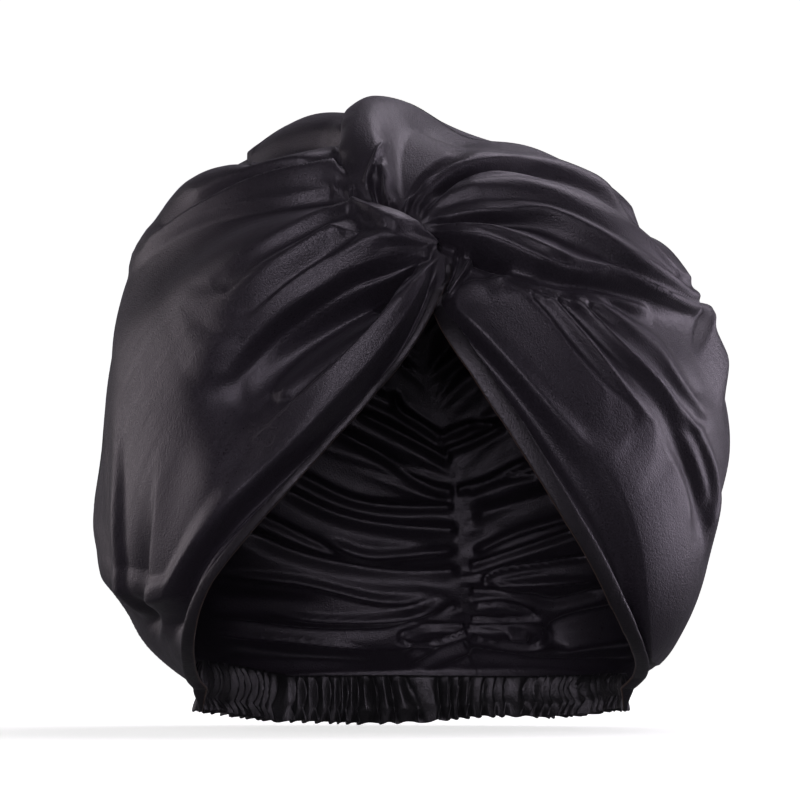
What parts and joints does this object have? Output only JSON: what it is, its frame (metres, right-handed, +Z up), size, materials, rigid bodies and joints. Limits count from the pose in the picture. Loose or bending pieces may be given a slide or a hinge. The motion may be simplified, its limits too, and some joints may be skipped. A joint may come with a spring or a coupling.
{
  "type": "sleep cap",
  "caption": "Full-volume satin sleep cap with gathered panels that cross in a twisted front knot, an open face side and an elasticated frilled nape casing.",
  "frame": {"origin": "on the surface the cap rests on, below the centre of its bounding box", "axes": "+Z up, +X to the right as seen from the front, -Y out of the face opening"},
  "size_m": [0.2529, 0.2412, 0.2523],
  "materials": {
    "satin": "dark purple-black satin, soft sheen",
    "hem": "doubled satin, topstitched",
    "casing": "satin gathered over elastic"
  },
  "bodies": {
    "root": {"panel_left": "satin", "panel_right": "satin", "front_hem_left": "hem", "front_hem_right": "hem", "nape_casing": "casing"}
  },
  "joints": []
}
